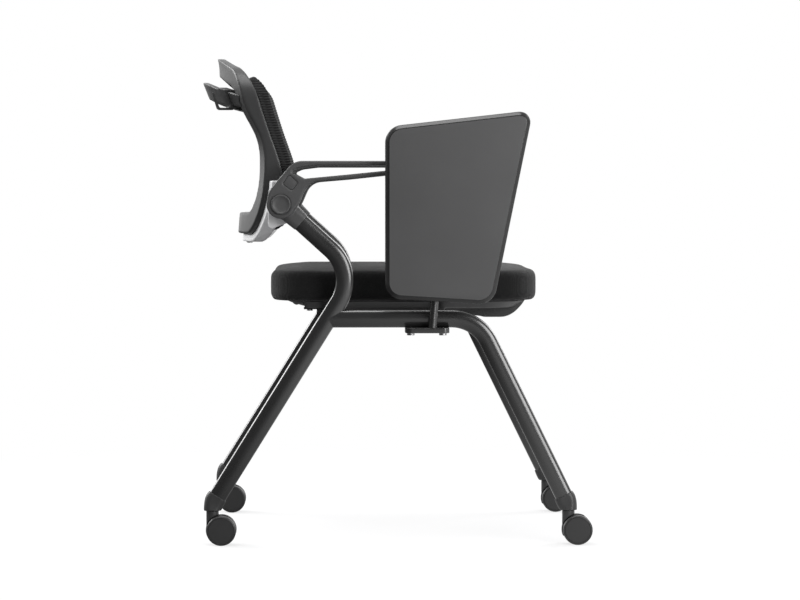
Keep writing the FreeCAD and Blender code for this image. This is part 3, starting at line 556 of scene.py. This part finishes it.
def seat_blank():
    """Seat pad before it swells: the plan pushed up, its top crowned and its rims rounded."""
    rim_z = cushion_high_z - cushion_crown
    pad = seat_outline("cushion", cushion_swell, cushion_low_z)
    pick(pad, "FACE", lambda face: True)
    extrude((0, 0, rim_z - cushion_low_z))
    face_out()
    leave_edit()
    pick(pad, "FACE", lambda face: face.normal.z > 0.9)
    sink((crown_run, cushion_crown))
    for height, radius in ((rim_z, cushion_top_round), (cushion_low_z, cushion_bottom_round)):
        leave_edit()
        walls = {key for face in pad.data.polygons if abs(face.normal.z) < 0.5 for key in face.edge_keys}
        pick(pad, "EDGE", lambda edge: edge.key in walls
             and all(abs(point.z - height) < mm for point in edge_ends(pad, edge)))
        bpy.ops.mesh.bevel(offset=radius, segments=rim_steps)
    leave_edit()
    return pad


def points_of(mesh):
    flat = np.empty(len(mesh.vertices) * 3)
    mesh.vertices.foreach_get("co", flat)
    return flat.reshape(-1, 3)


def swell(piece, most):
    """Blow the pad up as cloth, no point moving further than most."""
    start = points_of(piece.data)
    cloth = piece.modifiers.new("cloth", "CLOTH")
    cloth.settings.use_pressure = True
    cloth.settings.uniform_pressure_force = cloth_pressure
    cloth.settings.effector_weights.gravity = 0.0
    for number in range(1, cloth_frames + 1):
        bpy.context.scene.frame_set(number)
    held = piece.evaluated_get(bpy.context.evaluated_depsgraph_get())
    step = points_of(held.data) - start
    length = np.linalg.norm(step, axis=1, keepdims=True)
    step *= np.minimum(1.0, most / np.maximum(length, 1e-9))
    piece.modifiers.remove(cloth)
    bpy.context.scene.frame_set(1)
    ended = start + step
    ended[:, 2] = np.maximum(ended[:, 2], cushion_low_z)
    piece.data.vertices.foreach_set("co", ended.ravel())
    piece.data.update()


def seat_pad():
    pad = seat_blank()
    apply_modifier(pad, "REMESH", mode="VOXEL", voxel_size=cushion_voxel)
    apply_modifier(pad, "SMOOTH", factor=0.5, iterations=3)
    swell(pad, cushion_swell)
    apply_modifier(pad, "SUBSURF", levels=1, render_levels=1)
    dress(pad, "seat_fabric", "seat", "seat_cushion", sharp=180)


def panel_half(height):
    """Half width of the knit panel at a height, less at its rounded corners."""
    half = panel_half_width
    for edge, radius in ((height - panel_low_z, panel_corner), (panel_high_z - height, panel_top_corner)):
        if edge < radius:
            half -= radius - math.sqrt(max(0.0, radius ** 2 - (radius - edge) ** 2))
    return half


def panel_front(faces, across, height):
    """Front of the CAD panel at a point, looked for further inwards where its rim is missed."""
    middle_z = (panel_low_z + panel_high_z) / 2
    for step in range(look_steps):
        share = 1 - look_inwards * step
        spot = Vector((0, across * share, middle_z + (height - middle_z) * share))
        place = faces.ray_cast(spot, Vector((-1, 0, 0)))[0]
        if place:
            return place.x
    raise ValueError("the panel was missed at %.3f, %.3f" % (across, height))


def back_panel():
    """Ribbed knit panel that follows the CAD panel's front and wraps over its rim."""
    rows = int(round((panel_high_z - panel_low_z) / rib_pitch)) * rows_per_rib
    leave_edit()
    bpy.ops.mesh.primitive_grid_add(x_subdivisions=panel_columns, y_subdivisions=rows, size=2)
    panel = added("knit_panel", Matrix.Identity(4))
    solid = frame["nodes"]["back_mesh"].data
    faces = BVHTree.FromPolygons([v.co for v in solid.vertices], [f.vertices for f in solid.polygons])
    for vertex in panel.data.vertices:
        height = panel_low_z + (panel_high_z - panel_low_z) * (vertex.co.y + 1) / 2
        across = vertex.co.x * max(panel_half(height), panel_least_half)
        roll = max(0.0, 1 - (panel_high_z - height) / panel_roll_height)
        vertex.co = (panel_front(faces, across, height) - panel_roll_depth * roll ** 2, across, height)
    apply_modifier(panel, "SOLIDIFY", thickness=panel_thickness, offset=-1.0)
    pick(panel, "FACE", lambda face: True)
    bpy.ops.mesh.normals_make_consistent(inside=False)
    leave_edit()
    outward = [vertex.normal.copy() for vertex in panel.data.vertices]
    for vertex, normal in zip(panel.data.vertices, outward):
        vertex.co += normal * rib_depth * math.cos(2 * math.pi * vertex.co.z / rib_pitch)
    dress(panel, "knit_mesh", "back", "back_mesh", sharp=60)


def cad_copy(node):
    """Copy of a CAD node with its faces joined up again."""
    piece = twin(frame["nodes"][node], node + "_form", Matrix.Identity(4))
    leave_edit()
    bpy.context.view_layer.objects.active = piece
    bpy.ops.object.mode_set(mode="EDIT")
    bpy.ops.mesh.select_all(action="SELECT")
    bpy.ops.mesh.remove_doubles(threshold=0.01 * mm)
    leave_edit()
    return piece


def softened(node, *parts, voxel, passes, rework=None):
    """Copy of a moulded CAD node, reworked or joined with other parts, its edges rounded over."""
    piece = cad_copy(node)
    if rework:
        for vertex in piece.data.vertices:
            vertex.co = rework(vertex.co)
    for part in (piece, *parts):
        part.select_set(True)
    bpy.context.view_layer.objects.active = piece
    bpy.ops.object.join()
    apply_modifier(piece, "REMESH", mode="VOXEL", voxel_size=voxel)
    apply_modifier(piece, "SMOOTH", factor=0.5, iterations=passes)
    dress(piece, slots[node], body_of[node], node, sharp=180)


def slim_collar(point):
    """Draw the mouth of an armrest's tube collar in to just outside its tube."""
    run = (knee - hub).normalized()
    offset = Vector((point.x - hub.x, 0, point.z - hub.z))
    along = offset.dot(run)
    across = offset - run * along
    if along < collar_end - mm or along > collar_end + mm or across.length < tube_depth / 2 + mm:
        return point
    drawn = across.normalized() * (tube_depth / 2 + collar_wall)
    return Vector((hub.x, point.y, hub.z)) + run * along + drawn


def pan_rails():
    """Edges that hang from both sides of the pan."""
    rails = []
    for side in (-1, 1):
        leave_edit()
        bpy.ops.mesh.primitive_cube_add(size=2)
        low_z, high_z = rail_low_z, pan_low_z + pan_overlap
        middle = ((rail_rear_x + belly_rear_x) / 2, side * rail_line, (low_z + high_z) / 2)
        half = ((belly_rear_x - rail_rear_x) / 2, rail_half, (high_z - low_z) / 2)
        rails.append(added("pan_rail", Matrix.Translation(middle) @ Matrix.Diagonal((*half, 1))))
    return rails


def pan_belly():
    """Underside that slopes down to the front lip and curves up to the pan's front."""
    profile = [(belly_rear_x, pan_low_z + pan_overlap), (belly_rear_x, rail_low_z),
               (belly_heel_x, belly_low_z)]
    for step in range(belly_steps + 1):
        run = step / belly_steps
        profile.append((belly_toe_x + (belly_front_x - belly_toe_x) * run,
                        belly_low_z + (belly_front_z - belly_low_z) * run ** belly_curve))
    leave_edit()
    bpy.ops.mesh.primitive_circle_add(vertices=len(profile), radius=1, fill_type="NGON")
    belly = added("pan_belly", Matrix.Identity(4))
    for vertex, (x, z) in zip(belly.data.vertices, profile):
        vertex.co = (x, -belly_half_width, z)
    pick(belly, "FACE", lambda face: True)
    extrude((0, 2 * belly_half_width, 0))
    face_out()
    leave_edit()
    return belly


def pan_profile(point):
    """Thin the pan behind its hinges, and raise its front lip to the belly's lowest level."""
    height = point.z
    if point.x < tail_front_x and height < cushion_low_z - mm:
        height += tail_rise
    elif point.x > lip_rear_x:
        height = max(height, belly_low_z)
    return Vector((point.x, point.y, height))


def moulded_pieces():
    """Mouldings and castings whose edges show rounded."""
    softened("back_frame", voxel=1.7 * mm, passes=10)
    softened("back_handle", voxel=1.4 * mm, passes=8)
    softened("bag_hook", voxel=0.7 * mm, passes=6)
    softened("back_carrier", voxel=1.5 * mm, passes=5)
    softened("seat_pan", *pan_rails(), pan_belly(), voxel=2.0 * mm, passes=6, rework=pan_profile)
    softened("tablet_clamp", voxel=0.8 * mm, passes=5)
    softened("tablet_hinge", voxel=0.9 * mm, passes=4)
    for side in ("right", "left"):
        softened("armrest_" + side, voxel=1.1 * mm, passes=5, rework=slim_collar)
        for row in ("rear", "front"):
            softened(row + "_leg_socket_" + side, voxel=0.7 * mm, passes=5)
            softened("%s_%s_caster_body" % (row, side), voxel=0.7 * mm, passes=5)


def hub_caps():
    """Dished cap in each hub, modelled on the right and mirrored to the left."""
    leave_edit()
    bpy.ops.mesh.primitive_cylinder_add(vertices=round_points, radius=cap_radius, depth=cap_thickness)
    place = Matrix.Translation((hub.x, cap_face_y + cap_thickness / 2, hub.z))
    cap = added("hub_cap_disc_right", place @ Matrix.Rotation(math.pi / 2, 4, "X"))
    pick(cap, "EDGE", lambda edge: all(p.y < cap_face_y + 0.1 * mm for p in edge_ends(cap, edge)))
    bpy.ops.mesh.bevel(offset=cap_edge, segments=4)
    pick(cap, "FACE", faces_right)
    sink((cap_rim, 0), (cap_step_run, -cap_step_drop), (cap_dish_run, -cap_dish_drop),
         (cap_middle_run, -cap_middle_drop))
    leave_edit()
    other = twin(cap, "hub_cap_disc_left", left_side)
    dress(cap, "arm_plastic", "frame", "hub_cap_right", sharp=40)
    dress(other, "arm_plastic", "frame", "hub_cap_left", sharp=40)


def arm_plugs():
    """Recess plugs, drawn in so that a dark joint shows round them."""
    for side in ("right", "left"):
        node = "arm_plug_" + side
        low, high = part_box(node)
        middle = Matrix.Translation((low + high) / 2)
        plug = cad_copy(node)
        plug.data.transform(middle @ Matrix.Diagonal((plug_share, 1, plug_share, 1)) @ middle.inverted())
        pick(plug, "FACE", lambda face: True)
        bpy.ops.mesh.dissolve_limited(angle_limit=0.02)
        apply_modifier(plug, "BEVEL", width=plug_edge, segments=3, limit_method="ANGLE", angle_limit=0.7)
        dress(plug, "arm_plastic", "frame", node)


def writing_board():
    """Board with rounded corners, a bevel round its writing face and softened edges."""
    corners = [(board_rear_x, board_low_rear_z), (board_low_front_x, board_low_front_z),
               (board_high_front_x, board_high_front_z), (board_rear_x, board_high_rear_z)]
    leave_edit()
    bpy.ops.mesh.primitive_circle_add(vertices=len(corners), radius=1, fill_type="NGON")
    board = added("writing_board", Matrix.Identity(4))
    for vertex, (x, z) in zip(board.data.vertices, corners):
        vertex.co = (x, board_inner_y, z)
    pick(board, "VERT", lambda vertex: True)
    bpy.ops.mesh.bevel(offset=board_corner, segments=corner_steps, affect="VERTICES", offset_type="OFFSET")
    pick(board, "FACE", lambda face: True)
    extrude((0, -board_thickness, 0))
    face_out()
    face_y = board_inner_y - board_thickness
    pick(board, "EDGE", lambda edge: all(abs(p.y - face_y) < 0.1 * mm for p in edge_ends(board, edge)))
    bpy.ops.mesh.bevel(offset=board_bevel, segments=1)
    leave_edit()
    apply_modifier(board, "BEVEL", width=board_edge, segments=3, limit_method="ANGLE", angle_limit=0.5)
    rim = board.data.attributes.new("rim", "FLOAT", "FACE")
    for face in board.data.polygons:
        rim.data[face.index].value = float(abs(face.normal.y) < 0.999)
    dress(board, "tablet_grey", "tablet", "tablet_board")


leg_tubes()
caster_wheels()
seat_pad()
back_panel()
writing_board()
moulded_pieces()
hub_caps()
arm_plugs()

# Pieces that stay as the CAD made them
for name, node in frame["nodes"].items():
    paint(node, slots[name])


def studio_floor():
    """Floor that looks white, with soft shadows, but throws little light up at the object."""
    leave_edit()
    bpy.ops.mesh.primitive_plane_add(size=floor_size)
    floor = added("floor", Matrix.Identity(4))
    made, shader, place = new_finish("floor", Roughness=0.9)
    tree = made.node_tree
    rays = tree.nodes.new("ShaderNodeLightPath")
    seen = Value(tree, rays.outputs["Is Camera Ray"])
    shiny = Value(tree, rays.outputs["Is Glossy Ray"])
    seen.tint(grey(0.2), grey(0.86)).feed(shader, "Base Color")
    forward = place.node("SeparateXYZ", {0: place})
    # Shiny pieces see a floor that brightens towards the object's front
    level = seen + shiny * forward.ramp(-0.5, 0.6, 0.08, 0.9)
    glow = seen.node("Emission", {"Color": level.tint(grey(0.0), (1, 1, 1))})
    # Shadows show near the object and fade into plain white further away
    away = place.node("VectorMath", {0: place}, output=1, operation="LENGTH").ramp(0.3, 1.6, 0.7, 1.0)
    mixed = seen.node("MixShader", {0: seen * away + shiny, 1: Value(tree, shader.outputs[0]), 2: glow})
    tree.links.new(mixed.socket, tree.nodes["Material Output"].inputs["Surface"])
    floor.data.materials.append(made)


def soft_lamp(name, place, aim_z, size, power):
    """Round lamp turned towards a height on the object's upright axis."""
    lamp = bpy.data.lights.new(name, "AREA")
    lamp.shape = "DISK"
    lamp.size = size
    lamp.energy = power
    held = bpy.data.objects.new(name, lamp)
    held.location = place
    held.rotation_euler = (Vector((0, 0, aim_z)) - Vector(place)).to_track_quat("-Z", "Y").to_euler()
    bpy.context.scene.collection.objects.link(held)


def studio_light():
    """White backdrop behind the object, a room dim towards the camera, and four soft lamps."""
    world = bpy.data.worlds.new("studio")
    bpy.context.scene.world = world
    world.use_nodes = True
    tree = world.node_tree
    sky = tree.nodes["Background"]
    way = Value(tree, tree.nodes.new("ShaderNodeTexCoord").outputs["Generated"])
    side = way.node("SeparateXYZ", {0: way}, output=0)
    depth = way.node("SeparateXYZ", {0: way}, output=1)
    rays = tree.nodes.new("ShaderNodeLightPath")
    seen = Value(tree, rays.outputs["Is Camera Ray"])
    shiny = Value(tree, rays.outputs["Is Glossy Ray"])
    # The room lights the object, and shiny pieces see the white backdrop instead
    room = depth.ramp(-0.2, 0.5, 0.25, 0.9) + side.ramp(-0.9, 0.0, 0.45, 0.0)
    backdrop = depth.ramp(-0.1, 0.3, 0.1, 1.0).math("MAXIMUM", side.ramp(0.1, 0.8, 0.1, 0.45))
    level = room * (1 - shiny) + backdrop * shiny
    (level * (1 - seen) + seen).feed(sky, "Strength")
    sky.inputs["Color"].default_value = (1, 1, 1, 1)
    soft_lamp("key", place=(-0.3, -0.7, 3.3), aim_z=0.4, size=2.0, power=50)
    soft_lamp("front_right", place=(2.4, -3.2, 1.3), aim_z=0.4, size=2.2, power=72)
    soft_lamp("rim_left", place=(-2.6, 1.3, 2.0), aim_z=0.45, size=2.0, power=72)
    soft_lamp("rim_right", place=(2.6, 1.5, 2.2), aim_z=0.45, size=2.0, power=55)


def photo_camera():
    """Camera where the photograph was taken from."""
    lens = bpy.data.cameras.new("camera")
    lens.sensor_width = sensor_width
    lens.lens = focal_length
    held = bpy.data.objects.new("camera", lens)
    held.location = camera_place
    held.rotation_euler = (math.radians(camera_tilt), 0, math.radians(camera_turn))
    bpy.context.scene.collection.objects.link(held)
    bpy.context.scene.camera = held


studio_floor()
studio_light()
photo_camera()
bpy.context.scene.view_settings.view_transform = "Standard"
